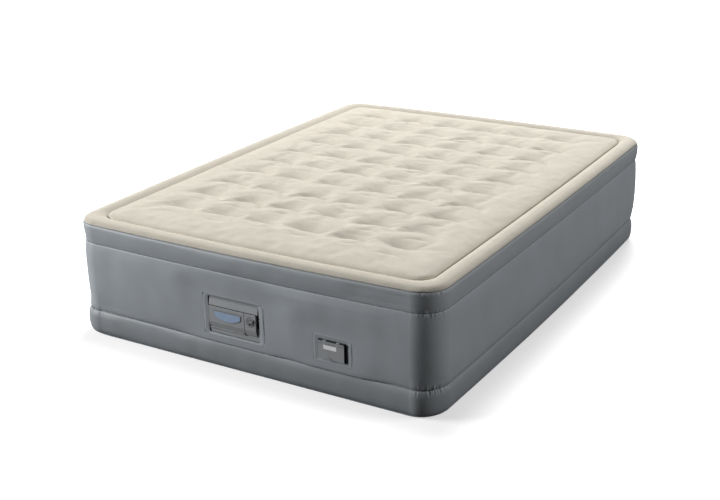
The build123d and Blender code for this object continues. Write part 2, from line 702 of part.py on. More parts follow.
def port_tub():
    """The moulded box: a tub with the port's tube standing on its floor."""
    width, height, radius = TUB
    inner = (width - 2 * TUB_WALL, height - 2 * TUB_WALL, radius - TUB_WALL)
    tub = slab(PORT, TUB, TUB_FLOOR - 3, TUB_FRONT) - slab(PORT, inner, TUB_FLOOR, 30)
    tub += disc(PORT, PORT_TUBE, TUB_FLOOR - 3, PORT_MOUTH)
    tub -= disc(PORT, PORT_RADIUS, -90, 30)
    for low, high in lid_ear_spans():
        tub += bar(PORT, LID_KNUCKLE, low, high, LID_AXIS_W, LID_AXIS_N)
        web_w = (LID_AXIS_W - 1.6, height / 2 - 0.2)
        tub += block(PORT, (low, high), web_w, (TUB_FRONT - 0.5, LID_AXIS_N))
    outer = TUB[0] / 2
    tub -= bar(PORT, PIN_RADIUS + PIN_CLEARANCE, -outer, outer, LID_AXIS_W, LID_AXIS_N)
    flap_w, flap_n = 20.0, TUB_FLOOR - 6.4
    for side in (-1, 1):
        ear_u = sorted((side * 6.5, side * 10))
        tub += block(PORT, ear_u, (flap_w - 2, flap_w + 2), (flap_n - 2, TUB_FLOOR - 2.5))
    return tub - bar(PORT, PIN_RADIUS + PIN_CLEARANCE, -15, 15, flap_w, flap_n)


def port_lid():
    width, height, radius = TUB
    low, high = -height / 2, LID_AXIS_W - LID_KNUCKLE - 0.6
    back, front = TUB_FRONT + 0.4, TUB_FRONT + 0.4 + LID_THICKNESS
    lid_width = LID_U[1] - LID_U[0]
    centre = (sum(LID_U) / 2, (low + high) / 2)
    lid = slab(PORT, (lid_width, high - low, 1.5), back, front, centre)
    for span in CREASES_U:
        lid -= block(PORT, span, (CREASE_W - 0.8, CREASE_W + 0.8), (front - 1, front + 1))
    for u in LID_KNUCKLES_U:
        span = (u - LID_KNUCKLE_LENGTH / 2, u + LID_KNUCKLE_LENGTH / 2)
        lid += bar(PORT, LID_KNUCKLE, *span, LID_AXIS_W, LID_AXIS_N)
        lid += block(PORT, span, (high - 1, LID_AXIS_W), (LID_AXIS_N - 1.6, front))
    lid += slab(PORT, (13.0, 8.0, 3.5), back + 0.8, front + 1.2, (TAB_U, low + 2.0))
    outer = width / 2
    return lid - bar(PORT, PIN_RADIUS + PIN_CLEARANCE, -outer, outer, LID_AXIS_W, LID_AXIS_N)


def lid_label():
    front = TUB_FRONT + 0.4 + LID_THICKNESS
    return slab(PORT, (*LABEL, 1.5), front, front + 0.6, LABEL_CENTRE)


def lid_pin():
    outer = TUB[0] / 2 - 5
    return bar(PORT, PIN_RADIUS, -outer, outer, LID_AXIS_W, LID_AXIS_N)


def port_seal_pad():
    """The rubber pad on the lid that closes the mouth of the port."""
    return disc(PORT, PORT_TUBE + 1, PORT_MOUTH + 0.2, TUB_FRONT + 0.4)


def port_gasket():
    ring = disc(PORT, PORT_TUBE, TUB_FLOOR - 4.2, TUB_FLOOR - 3)
    return ring - disc(PORT, PORT_RADIUS + 0.6, -90, 30)


def port_flap():
    """The one-way flap on the inner end of the port, hung from its upper edge."""
    front = TUB_FLOOR - 4.4
    flap_w, flap_n = 20.0, TUB_FLOOR - 6.4
    flap = disc(PORT, PORT_TUBE, front - FLAP_THICKNESS, front)
    flap += block(PORT, (-5.5, 5.5), (12, flap_w), (front - FLAP_THICKNESS, front - 0.4))
    flap += bar(PORT, 1.8, -5.5, 5.5, flap_w, flap_n)
    return flap - bar(PORT, PIN_RADIUS + PIN_CLEARANCE, -15, 15, flap_w, flap_n)


def port_flap_pin():
    return bar(PORT, PIN_RADIUS, -10, 10, 20.0, TUB_FLOOR - 6.4)


# ---------------------------------------------------------------- output
SUBPARTS = {
    "top_sheet": top_sheet,
    "panel_weld": panel_weld,
    "rim_bolster": rim_bolster,
    "rim_weld": rim_weld,
    "upper_wall": upper_wall,
    "upper_seam": upper_seam,
    "main_wall": main_wall,
    "lower_seam": lower_seam,
    "base_wall": base_wall,
    "bottom_sheet": bottom_sheet,
    "comfort_diaphragm": comfort_diaphragm,
    "base_diaphragm": base_diaphragm,
    "fibre_columns": fibre_columns,
    "support_posts": support_posts,
    "base_webs": base_webs,
    "pump_collar": pump_collar,
    "pump_faceplate": faceplate,
    "pump_housing": pump_housing,
    "pump_rear_cover": rear_cover,
    "screw_bosses": screw_bosses,
    "cover_screws": cover_screws,
    "cord_door": cord_door,
    "door_badge": door_badge,
    "door_pin": door_pin,
    "cord_tray": cord_tray,
    "cord_grommet": cord_grommet,
    "power_cord": power_cord,
    "power_plug": power_plug,
    "selector_knob": selector_knob,
    "selector_shaft": selector_shaft,
    "selector_switch": selector_switch,
    "diverter_drum": diverter_drum,
    "diverter_housing": diverter_housing,
    "air_duct": air_duct,
    "outlet_duct": outlet_duct,
    "outlet_flap": outlet_flap,
    "outlet_flap_pin": outlet_flap_pin,
    "motor_can": motor_can,
    "motor_stator": motor_stator,
    "motor_bearings": motor_bearings,
    "motor_shaft": motor_shaft,
    "motor_armature": motor_armature,
    "motor_mounts": motor_mounts,
    "motor_cradle": motor_cradle,
    "impeller": impeller,
    "fan_shroud": fan_shroud,
    "control_board": control_board,
    "port_collar": port_collar,
    "port_tub": port_tub,
    "port_lid": port_lid,
    "lid_label": lid_label,
    "lid_pin": lid_pin,
    "port_seal_pad": port_seal_pad,
    "port_gasket": port_gasket,
    "port_flap": port_flap,
    "port_flap_pin": port_flap_pin,
}


def main():
    os.makedirs("parts", exist_ok=True)
    for node, make in SUBPARTS.items():
        export_step(make(), os.path.join("parts", node + ".step"))


main()
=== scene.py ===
"""A raised double air mattress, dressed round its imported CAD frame.

The row frame is in metres: origin on the floor at the bed's centre, +Z up, +Y along the bed.
The pump and the air port are in the end wall that faces -Y. Every soft part is its own closed
shell that stands for a CAD node. The moulded parts are the CAD nodes themselves, some of them
with softened edges.
"""

import json
import math

import bpy
import numpy as np
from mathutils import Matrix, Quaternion, Vector


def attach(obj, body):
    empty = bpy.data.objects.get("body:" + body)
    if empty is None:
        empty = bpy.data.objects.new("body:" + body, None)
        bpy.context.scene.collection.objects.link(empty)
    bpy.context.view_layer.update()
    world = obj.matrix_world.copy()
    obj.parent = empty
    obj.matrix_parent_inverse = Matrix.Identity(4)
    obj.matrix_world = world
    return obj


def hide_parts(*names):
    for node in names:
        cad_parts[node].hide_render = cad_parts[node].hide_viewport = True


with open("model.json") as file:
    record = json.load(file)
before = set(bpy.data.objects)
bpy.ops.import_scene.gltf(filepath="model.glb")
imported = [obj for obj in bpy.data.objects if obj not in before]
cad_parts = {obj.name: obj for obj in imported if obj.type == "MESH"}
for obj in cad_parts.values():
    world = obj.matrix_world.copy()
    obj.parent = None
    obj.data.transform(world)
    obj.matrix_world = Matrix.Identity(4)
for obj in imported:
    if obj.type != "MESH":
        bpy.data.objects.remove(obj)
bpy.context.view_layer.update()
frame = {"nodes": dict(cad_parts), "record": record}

# ------------------------------------------------------------------ sizes, in metres
HALF_LENGTH = 1.015
HALF_FLOOR = (0.7587, 1.0081)  # half width and half length at the corners, at the floor
HALF_RIM = (0.7534, 1.0028)  # and at the rim
BOW_FLOOR = (0.0127, 0.0028)  # how far the sides and the ends bow outward at the floor
BOW_RIM = (0.0066, 0.0122)  # and at the rim
CORNER = 0.101
ROUNDER = 0.75  # how much faster than its inset the rim's inner corner stays round
SKEW = 0.010  # the base band sits a little askew at two opposite corners
SKEW_DIRECTION = (0.857, 0.516)
SKIN = 0.0022
STRAIGHT_STEP = 0.007  # between columns of a wall's mesh on the straight stretches
CORNER_COLUMNS = 96  # columns round each corner
WALL_ROWS = 76
SEAM_LOW, SEAM_HIGH, RIM_WELD = 0.098, 0.368, 0.440
RIM_INSET = 0.076  # from the outermost wall to the groove round the sleeping panel

# Sections of each band, bottom to top, as (inset from the outermost wall, height)
BASE_SECTION = (
    (0.0420, 0.0006), (0.0250, 0.0009), (0.0165, 0.0030), (0.0122, 0.0085), (0.0088, 0.0180),
    (0.0064, 0.0310), (0.0052, 0.0450), (0.0048, 0.0590), (0.0054, 0.0720), (0.0070, 0.0830),
    (0.0094, 0.0912), (0.0120, 0.0952), (0.0152, 0.0973),
)
WALL_SECTION = (
    (0.0148, 0.0987), (0.0124, 0.1007), (0.0098, 0.1065), (0.0070, 0.1180), (0.0040, 0.1400),
    (0.0016, 0.1700), (0.0003, 0.2100), (0.0000, 0.2550), (0.0000, 0.2950), (0.0006, 0.3200),
    (0.0015, 0.3370), (0.0028, 0.3500), (0.0043, 0.3600), (0.0056, 0.3655), (0.0066, 0.3675),
)
UPPER_SECTION = (
    (0.0066, 0.3684), (0.0057, 0.3706), (0.0041, 0.3775), (0.0020, 0.3880), (0.0002, 0.4000),
    (-0.0010, 0.4140), (-0.0012, 0.4270), (0.0001, 0.4345), (0.0030, 0.4384), (0.0070, 0.4396),
)
RIM_SECTION = (
    (0.0068, 0.4404), (0.0040, 0.4412), (0.0040, 0.4442), (0.0082, 0.4495), (0.0170, 0.4545),
    (0.0290, 0.4573), (0.0420, 0.4580), (0.0540, 0.4557), (0.0640, 0.4514), (0.0710, 0.4462),
    (0.0752, 0.4420), (0.0768, 0.4395),
)

# Quilting
DIMPLES_ACROSS, DIMPLES_ALONG = 6, 10
DIMPLE_PITCH_X, DIMPLE_PITCH_Y = 0.185, 0.163
DIMPLE_SHIFT_Y = 0.042
CREASE_HALF = 0.046
MOST_RISE = 0.006  # furthest the sheet moves when inflated
CREASE_HOLD = 0.009  # drawn down this far, the sheet keeps its shape when inflated
NEAR_REACH = 0.034  # how far a crease draws the sheet down on its -Y side
CREASE_DEPTH = 0.0160
CREASE_FADE = 0.078  # half width over which a crease dies out
CREASE_BOW = 0.009  # how far a crease's ends lie from its middle, along Y
RAY_DEPTH, FOLD_DEPTH = 0.0020, 0.0036  # of the rays off a crease's ends, the folds between rows
SMALL_FOLD_DEPTHS = (0.0006, 0.0020)
SMALL_FOLDS = 2  # beside each crease
SWELL_HEIGHTS = (0.0009, 0.0005)  # of the panel's long and short unevenness
WRINKLE_HEIGHT = 0.0004
QUILT_SEED = 7
QUILT_CELL, CLOTH_CELL = 0.0040, 0.0100  # of the finished panel and of the cloth blown up for it
PANEL_EDGE_Z = 0.4435
PANEL_CREST_Z = 0.4570

# Places in the end wall
DEVICE_Y = -HALF_LENGTH + 0.013
PUMP_SEAT, PORT_SEAT = 0.0042, 0.0062  # how far the wall lies in front of DEVICE_Y round a unit
FADE_ACROSS, FADE_UP = 0.165, 0.090  # and how gently it comes back out to its own curve
PUMP_X, PUMP_Z = -0.030, 0.202
PORT_X, PORT_Z = 0.373, 0.1755
PUMP_HOLE = (0.1245, 0.0745)  # half width and half height of the opening in the wall
PORT_HOLE = (0.0695, 0.0475)
GROOVE_DEPTH, GROOVE_WIDTH = 0.0007, 0.007  # pressed in beside a unit's patch
PUMP_PATCH = (0.1280, 0.0785)
PORT_PATCH = (0.0745, 0.0525)


# ------------------------------------------------------------------ numbers
def smooth_curve(points, count):
    """Catmull-Rom curve through (a, b) points, evenly spaced along its length."""
    p = np.array(points, float)
    p = np.vstack([2 * p[0] - p[1], p, 2 * p[-1] - p[-2]])
    pieces = []
    for a, b, c, d in zip(p[:-3], p[1:-2], p[2:-1], p[3:]):
        t = np.linspace(0, 1, 24, endpoint=False)[:, None]
        pieces.append(
            0.5 * (2 * b + (c - a) * t + (2 * a - 5 * b + 4 * c - d) * t**2
                   + (3 * b - a - 3 * c + d) * t**3)
        )
    fine = np.vstack(pieces + [p[-2:-1]])
    run = np.concatenate([[0], np.cumsum(np.linalg.norm(np.diff(fine, axis=0), axis=1))])
    even = np.linspace(0, run[-1], count)
    return np.column_stack([np.interp(even, run, fine[:, k]) for k in (0, 1)])


def ripple(points, wavelength, seed, waves=28):
    """A smooth random field of about unit size, made of waves in random directions."""
    rng = np.random.default_rng(seed)
    axes = rng.normal(size=(waves, 3))
    axes /= np.linalg.norm(axes, axis=1)[:, None]
    lengths = wavelength * rng.uniform(0.7, 1.5, waves)
    phases = rng.uniform(0, 2 * math.pi, waves)
    flat = points.reshape(-1, 3)
    field = np.zeros(len(flat))
    for axis, length, phase in zip(axes, lengths, phases):
        field += np.cos(flat @ (axis * 2 * math.pi / length) + phase)
    return (field / math.sqrt(waves / 2)).reshape(points.shape[:-1])


def bump(distance, reach):
    """1 at distance 0, falling smoothly to 0 at reach."""
    t = np.clip(1 - np.abs(distance) / reach, 0, 1)
    return t * t * (3 - 2 * t)


# ------------------------------------------------------------------ the bed's outline
class Outline:
    """Columns round the bed, anticlockwise from above, starting at the middle of +X's side.
    marks are x values that the -Y end must have a column at."""

    def __init__(self, marks):
        out, on, along, sign, normal, turn, is_side, long_side = ([] for _ in range(8))
        spans = HALF_RIM[1] - CORNER, HALF_RIM[0] - CORNER
        for quarter, corner in enumerate(((1, 1), (-1, 1), (-1, -1), (1, -1))):
            span = spans[quarter % 2]
            steps = int(round(2 * span / STRAIGHT_STEP))
            places = np.linspace(-span, span, steps, endpoint=False)
            if quarter == 3:
                for mark in marks:
                    places[np.argmin(np.abs(places - mark))] = mark
            angle = math.pi / 2 * quarter
            side_out = np.array([math.cos(angle), math.sin(angle)])
            side_on = np.array([-math.sin(angle), math.cos(angle)])
            for k in range(steps + CORNER_COLUMNS):
                step = max(k - steps, 0)
                bearing = angle + math.pi / 2 * step / CORNER_COLUMNS
                out.append(side_out)
                on.append(side_on)
                along.append(places[k] if k < steps else span)
                sign.append(corner)
                normal.append((math.cos(bearing), math.sin(bearing)))
                turn.append(math.sin(math.pi * step / CORNER_COLUMNS))
                is_side.append(k < steps)
                long_side.append(quarter % 2 == 0)
        self.out, self.on, self.along, self.sign = (np.array(a) for a in (out, on, along, sign))
        self.normal, self.turn = np.array(normal), np.array(turn)
        self.is_side, self.long_side = np.array(is_side), np.array(long_side)
        self.span = np.where(self.long_side, *spans)
        self.skew = SKEW * self.turn * (self.normal @ SKEW_DIRECTION)

    def ring(self, inset, z):
        """Points at an inset from the outline and a height, both rows x columns."""
        rise = np.clip((z - 0.03) / 0.40, 0, 1)
        bow_x, bow_y = (low + (high - low) * rise for low, high in zip(BOW_FLOOR, BOW_RIM))
        half_x, half_y = (low + (high - low) * rise for low, high in zip(HALF_FLOOR, HALF_RIM))
        radius = CORNER - inset + ROUNDER * np.maximum(inset - 0.02, 0)
        reach_x, reach_y = half_x - inset - radius, half_y - inset - radius
        reach = np.where(self.long_side, reach_x, reach_y)
        span = np.where(self.long_side, reach_y, reach_x)
        end = np.clip((np.abs(self.along) / self.span - 0.78) / 0.22, 0, 1)
        along = self.along + np.sign(self.along) * (span - self.span) * end
        swell = np.where(self.long_side, bow_x, bow_y) * (1 - (along / span) ** 2)
        skew = self.skew * (1 - np.clip((z - 0.09) / 0.06, 0, 1))
        points = np.empty((*inset.shape, 3))
        for k, corner_reach in enumerate((reach_x, reach_y)):
            side = self.out[:, k] * (reach + radius + swell) + self.on[:, k] * along
            corner = self.sign[:, k] * corner_reach + self.normal[:, k] * (radius - skew)
            points[..., k] = np.where(self.is_side, side, corner)
        points[..., 2] = z
        return points


def ring_quads(rows, columns, closed_section=False):
    """Quads of a grid that closes round the outline."""
    index = np.arange(rows * columns).reshape(rows, columns)
    right = np.roll(index, -1, axis=1)
    if closed_section:
        above, above_right = np.roll(index, -1, axis=0), np.roll(right, -1, axis=0)
        return np.stack([index, right, above_right, above], -1).reshape(-1, 4)
    return np.stack([index[:-1], right[:-1], right[1:], index[1:]], -1).reshape(-1, 4)


def grid_quads(rows, columns):
    index = np.arange(rows * columns).reshape(rows, columns)
    return np.stack([index[:-1, :-1], index[1:, :-1], index[1:, 1:], index[:-1, 1:]], -1).reshape(
        -1, 4
    )


def vertex_normals(verts, quads):
    a, b = verts[quads[:, 2]] - verts[quads[:, 0]], verts[quads[:, 3]] - verts[quads[:, 1]]
    face = np.cross(a, b)
    total = np.zeros_like(verts)
    for k in range(4):
        np.add.at(total, quads[:, k], face)
    length = np.linalg.norm(total, axis=1)
    return total / np.maximum(length, 1e-12)[:, None]


def used_only(verts, quads):
    """Drops vertices that no face uses."""
    keep = np.unique(quads)
    place = np.full(len(verts), -1)
    place[keep] = np.arange(len(keep))
    return verts[keep], place[quads]


def shell(verts, quads, thickness):
    """Closes an open sheet into a thin solid, on the side its normals point away from."""
    verts, quads = used_only(verts, quads)
    count = len(verts)
    inner = verts - vertex_normals(verts, quads) * thickness
    edges = np.concatenate([quads[:, [k, (k + 1) % 4]] for k in range(4)])
    key, back = edges[:, 0] * count + edges[:, 1], edges[:, 1] * count + edges[:, 0]
    rim = edges[~np.isin(key, back)]
    side = np.stack([rim[:, 1], rim[:, 0], rim[:, 0] + count, rim[:, 1] + count], -1)
    return np.vstack([verts, inner]), np.vstack([quads, quads[:, ::-1] + count, side])


def add_piece(name, verts, quads, body, slot, *nodes):
    """Makes a smooth-shaded mesh object that rides on a CAD body and stands for CAD nodes."""
    mesh = bpy.data.meshes.new(name)
    mesh.vertices.add(len(verts))
    mesh.vertices.foreach_set("co", np.asarray(verts, np.float32).ravel())
    mesh.loops.add(quads.size)
    mesh.loops.foreach_set("vertex_index", quads.astype(np.int32).ravel())
    mesh.polygons.add(len(quads))
    mesh.polygons.foreach_set("loop_start", np.arange(0, quads.size, 4, dtype=np.int32))
    mesh.update(calc_edges=True)
    mesh.validate()
    mesh.shade_smooth()
    piece = bpy.data.objects.new(name, mesh)
    bpy.context.scene.collection.objects.link(piece)
    mesh.materials.append(MATERIALS[slot])
    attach(piece, body)
    if nodes:
        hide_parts(*nodes)
    return piece


# ------------------------------------------------------------------ materials
def nodes_of(material):
    material.use_nodes = True
    tree = material.node_tree
    tree.nodes.clear()
    output = tree.nodes.new("ShaderNodeOutputMaterial")
    shader = tree.nodes.new("ShaderNodeBsdfPrincipled")
    tree.links.new(shader.outputs["BSDF"], output.inputs["Surface"])
    return tree, shader


def noise(tree, scale, detail=3.0, stretch=(1, 1, 1)):
    """A noise texture in the row frame's own metres."""
    place = tree.nodes.new("ShaderNodeTexCoord")
    mapping = tree.nodes.new("ShaderNodeMapping")
    mapping.inputs["Scale"].default_value = stretch
    texture = tree.nodes.new("ShaderNodeTexNoise")
    texture.inputs["Scale"].default_value = scale
    texture.inputs["Detail"].default_value = detail
    tree.links.new(place.outputs["Object"], mapping.inputs["Vector"])
    tree.links.new(mapping.outputs["Vector"], texture.inputs["Vector"])
    return texture.outputs["Fac"]


def spread(tree, value, low, high):
    """Maps a noise value's middle range to low..high."""
    ramp = tree.nodes.new("ShaderNodeMapRange")
    ramp.inputs["From Min"].default_value = 0.3
    ramp.inputs["From Max"].default_value = 0.7
    ramp.inputs["To Min"].default_value = low
    ramp.inputs["To Max"].default_value = high
    tree.links.new(value, ramp.inputs["Value"])
    return ramp.outputs["Result"]


def mottled(name, colour, *, patch, patch_size, grain, grain_size, rough, rough_spread=0.06,
            relief=0.0, specular=0.4, sheen=0.0, metallic=0.0, stretch=(1, 1, 1), coat=0.0,
            crevice=0.0):
    """A material whose colour varies in patches and grain, with a bumped surface. crevice is
    how near another surface has to be for painted shade to darken the colour there."""
    material = bpy.data.materials.new(name)
    tree, shader = nodes_of(material)
    broad = spread(tree, noise(tree, 1 / patch_size, 2.0), 1 - patch, 1 + patch)
    fine_noise = noise(tree, 1 / grain_size, 3.0, stretch)
    fine = spread(tree, fine_noise, 1 - grain, 1 + grain)
    product = tree.nodes.new("ShaderNodeMath")
    product.operation = "MULTIPLY"
    tree.links.new(broad, product.inputs[0])
    tree.links.new(fine, product.inputs[1])
    tint = tree.nodes.new("ShaderNodeVectorMath")
    tint.operation = "SCALE"
    tint.inputs[0].default_value = colour
    tree.links.new(product.outputs["Value"], tint.inputs["Scale"])
    tree.links.new(tint.outputs["Vector"], shader.inputs["Base Color"])
    # painted shade: where other surfaces are near, the colour is darkened to stand in for the shade in
    # gaps and hollows
    if crevice:
        openness = tree.nodes.new("ShaderNodeAmbientOcclusion")
        openness.samples = 8
        openness.inputs["Distance"].default_value = crevice
        crevice_shade = tree.nodes.new("ShaderNodeMapRange")
        crevice_shade.inputs["From Min"].default_value = 0.45
        crevice_shade.inputs["From Max"].default_value = 0.95
        crevice_shade.inputs["To Min"].default_value = 0.15
        tree.links.new(openness.outputs["AO"], crevice_shade.inputs["Value"])
        dark = tree.nodes.new("ShaderNodeMath")
        dark.operation = "MULTIPLY"
        tree.links.new(product.outputs["Value"], dark.inputs[0])
        tree.links.new(crevice_shade.outputs["Result"], dark.inputs[1])
        tree.links.new(dark.outputs["Value"], tint.inputs["Scale"])
    tree.links.new(
        spread(tree, fine_noise, rough - rough_spread, rough + rough_spread),
        shader.inputs["Roughness"],
    )
    shader.inputs["Specular IOR Level"].default_value = specular
    shader.inputs["Metallic"].default_value = metallic
    shader.inputs["Coat Weight"].default_value = coat
    if sheen:
        shader.inputs["Sheen Weight"].default_value = sheen
        shader.inputs["Sheen Roughness"].default_value = 0.5
        shader.inputs["Sheen Tint"].default_value = (*colour, 1)
    if relief:
        bumps = tree.nodes.new("ShaderNodeBump")
        bumps.inputs["Strength"].default_value = 1.0
        bumps.inputs["Distance"].default_value = relief
        tree.links.new(fine_noise, bumps.inputs["Height"])
        tree.links.new(bumps.outputs["Normal"], shader.inputs["Normal"])
    return material


WALL_GREY = (0.358, 0.386, 0.412)
SHADED_BASE_GREY = (0.279, 0.301, 0.321)  # painted shade: the wall's grey darkened for the base band, for the shade it gets low down by the floor
CREAM = (0.612, 0.569, 0.488)

MATERIALS = {
    "cream_flock": mottled("cream_flock", CREAM, patch=0.035, patch_size=0.06, grain=0.05,
                           grain_size=0.0045, rough=0.92, relief=0.0009, specular=0.15, sheen=0.15),
    "cream_vinyl": mottled("cream_vinyl", (0.60, 0.55, 0.45), patch=0.03, patch_size=0.05,
                           grain=0.03, grain_size=0.003, rough=0.6, relief=0.0002),
    "grey_flock": mottled("grey_flock", WALL_GREY, patch=0.03, patch_size=0.12, grain=0.035,
                          grain_size=0.0030, rough=0.52, relief=0.00025, specular=0.5),
    "grey_flock_shaded_base": mottled("grey_flock_shaded_base", SHADED_BASE_GREY, patch=0.03, patch_size=0.12,
                               grain=0.035, grain_size=0.0030, rough=0.52, relief=0.00025,
                               specular=0.5),
    "grey_seam": mottled("grey_seam", (0.230, 0.250, 0.266), patch=0.05, patch_size=0.05,
                         grain=0.04, grain_size=0.0025, rough=0.45, relief=0.0002),
    "clear_vinyl": mottled("clear_vinyl", (0.40, 0.41, 0.42), patch=0.04, patch_size=0.08,
                           grain=0.03, grain_size=0.004, rough=0.4, relief=0.0002),
    "fibre": mottled("fibre", (0.62, 0.62, 0.60), patch=0.06, patch_size=0.03, grain=0.10,
                     grain_size=0.002, rough=0.85, relief=0.0004, stretch=(1, 1, 0.1)),
    "pump_grey": mottled("pump_grey", (0.345, 0.360, 0.375), patch=0.03, patch_size=0.03,
                         grain=0.05, grain_size=0.0012, rough=0.50, relief=0.00008,
                         crevice=0.006),
    "pump_dark": mottled("pump_dark", (0.028, 0.030, 0.032), patch=0.05, patch_size=0.03,
                         grain=0.06, grain_size=0.0012, rough=0.55, relief=0.0001),
    "box_dark": mottled("box_dark", (0.016, 0.018, 0.020), patch=0.05, patch_size=0.03,
                        grain=0.06, grain_size=0.0012, rough=0.45, relief=0.0001),
    "lid_grey": mottled("lid_grey", (0.345, 0.360, 0.375), patch=0.03, patch_size=0.02,
                        grain=0.05, grain_size=0.0012, rough=0.40, relief=0.00008,
                        crevice=0.004),
    "badge_blue": mottled("badge_blue", (0.360, 0.460, 0.640), patch=0.04, patch_size=0.02,
                          grain=0.03, grain_size=0.0015, rough=0.28, relief=0.00004, coat=0.3),
    "knob_grey": mottled("knob_grey", (0.270, 0.278, 0.282), patch=0.03, patch_size=0.02,
                         grain=0.05, grain_size=0.0012, rough=0.45, relief=0.00008,
                         crevice=0.005),
    "white_label": mottled("white_label", (0.93, 0.94, 0.95), patch=0.02, patch_size=0.02,
                           grain=0.02, grain_size=0.0015, rough=0.35, relief=0.00003),
    "black_rubber": mottled("black_rubber", (0.012, 0.012, 0.013), patch=0.05, patch_size=0.02,
                            grain=0.08, grain_size=0.0012, rough=0.7, relief=0.0001),
    "cord_black": mottled("cord_black", (0.014, 0.014, 0.016), patch=0.05, patch_size=0.02,
                          grain=0.06, grain_size=0.0012, rough=0.5, relief=0.00008),
    "steel": mottled("steel", (0.56, 0.57, 0.58), patch=0.03, patch_size=0.02, grain=0.06,
                     grain_size=0.0010, rough=0.28, relief=0.00003, metallic=1.0),
    "motor_steel": mottled("motor_steel", (0.44, 0.45, 0.46), patch=0.04, patch_size=0.02,
                           grain=0.06, grain_size=0.0012, rough=0.38, relief=0.00004,
                           metallic=1.0),
    "bronze": mottled("bronze", (0.52, 0.36, 0.16), patch=0.04, patch_size=0.01, grain=0.08,
                      grain_size=0.0010, rough=0.42, relief=0.00005, metallic=1.0),
    "board_green": mottled("board_green", (0.02, 0.11, 0.05), patch=0.06, patch_size=0.02,
                           grain=0.06, grain_size=0.0015, rough=0.4, relief=0.00004),
}


# ------------------------------------------------------------------ inflated walls
MARKS = (
    PUMP_X - PUMP_HOLE[0], PUMP_X + PUMP_HOLE[0], PORT_X - PORT_HOLE[0], PORT_X + PORT_HOLE[0],
)
BED = Outline(MARKS)
COLUMNS = len(BED.along)
PLAN = BED.ring(np.zeros((1, COLUMNS)), np.full((1, 1), 0.2))[0]
ARC = np.concatenate([[0], np.cumsum(np.linalg.norm(np.diff(PLAN, axis=0), axis=1))])


def loft(section, inward=0.0):
    """The bed's outline carried up a section of (inset, z) rows. inward adds to the inset."""
    return BED.ring(np.repeat(section[:, :1], COLUMNS, axis=1) + inward, section[:, 1:])


def pucker(seed, pitch, strength):
    """Small vertical gathers round the outline, strongest at the corners."""
    rng = np.random.default_rng(seed)
    wobble = sum(
        rng.uniform(0.4, 1.0) * np.sin(ARC * 2 * math.pi / (pitch * k) + rng.uniform(0, 6.28))
        for k in (1.0, 1.37, 1.9, 2.8)
    )
    return wobble / 2 * (0.10 + 0.90 * BED.turn**1.5) * strength


def softness(points, seed, slow, fast):
    """How far the surface of an inflated band wanders in and out."""
    return ripple(points, 0.42, seed) * slow + ripple(points * (1, 1, 0.55), 0.11, seed + 1) * fast


def nearness(points, centre, half):
    """1 on a moulded unit's patch of the end wall, falling to 0 beside, above and below it."""
    across = np.maximum(np.abs(points[..., 0] - centre[0]) - half[0], 0)
    up = np.maximum(np.abs(points[..., 2] - centre[1]) - half[1], 0)
    front = points[..., 1] < -HALF_LENGTH + CORNER
    return np.where(front, bump(np.hypot(across / FADE_ACROSS, up / FADE_UP), 1), 0)


def band(name, section, rows, seed, slot, *nodes, gather_low=0.0, gather_high=0.0, reach=0.022):
    curve = smooth_curve(section, rows)
    rest = loft(curve)
    low, high = curve[0, 1], curve[-1, 1]
    inward = -softness(rest, seed, 0.0010, 0.00035) * np.clip(
        np.minimum(rest[..., 2] - low, high - rest[..., 2]) / 0.02, 0, 1
    )
    inward += bump(rest[..., 2] - low, reach) * pucker(seed + 2, 0.013, gather_low)[None]
    inward += bump(rest[..., 2] - high, reach) * pucker(seed + 3, 0.011, gather_high)[None]
    points = loft(curve, inward)
    verts, quads = shell(points.reshape(-1, 3), ring_quads(rows, COLUMNS), SKIN)
    return add_piece(name, verts, quads, "bed", slot, *nodes)


def main_wall():
    """The tall middle band, drawn in round the pump and the port, and opened for them."""
    curve = smooth_curve(WALL_SECTION, WALL_ROWS)
    for z in (PUMP_Z - PUMP_HOLE[1], PUMP_Z + PUMP_HOLE[1], PORT_Z - PORT_HOLE[1],
              PORT_Z + PORT_HOLE[1]):
        row = np.argmin(np.abs(curve[:, 1] - z))
        curve[row] = np.interp(z, curve[:, 1], curve[:, 0]), z
    rest = loft(curve)
    low, high = curve[0, 1], curve[-1, 1]
    inward = -softness(rest, 21, 0.0012, 0.0004) * np.clip(
        np.minimum(rest[..., 2] - low, high - rest[..., 2]) / 0.03, 0, 1
    )
    inward += bump(rest[..., 2] - low, 0.026) * pucker(23, 0.014, 0.0024)[None]
    inward += bump(rest[..., 2] - high, 0.022) * pucker(24, 0.012, 0.0016)[None]
    points = loft(curve, inward)
    for centre, half, seat in (((PUMP_X, PUMP_Z), PUMP_PATCH, PUMP_SEAT),
                               ((PORT_X, PORT_Z), PORT_PATCH, PORT_SEAT)):
        near = nearness(rest, centre, half)
        points[..., 1] += (DEVICE_Y - seat - points[..., 1]) * near
        for side in (-1, 1):
            beside = points[..., 0] - centre[0] - side * (half[0] + 0.0015)
            level = bump(rest[..., 2] - centre[1], half[1] * 1.25)
            groove = np.exp(-((beside / GROOVE_WIDTH) ** 2)) * level
            points[..., 1] += GROOVE_DEPTH * groove * (near > 0)
    quads = ring_quads(len(curve), COLUMNS)
    middle = points.reshape(-1, 3)[quads].mean(axis=1)
    keep = np.ones(len(quads), bool)
    for (x, z), (half_x, half_z) in (((PUMP_X, PUMP_Z), PUMP_HOLE), ((PORT_X, PORT_Z), PORT_HOLE)):
        inside = (np.abs(middle[:, 0] - x) < half_x) & (np.abs(middle[:, 2] - z) < half_z)
        keep &= ~(inside & (middle[:, 1] < -HALF_LENGTH + CORNER))
    verts, quads = shell(points.reshape(-1, 3), quads[keep], SKIN)
    return add_piece("wall_band", verts, quads, "bed", "grey_flock", "main_wall")


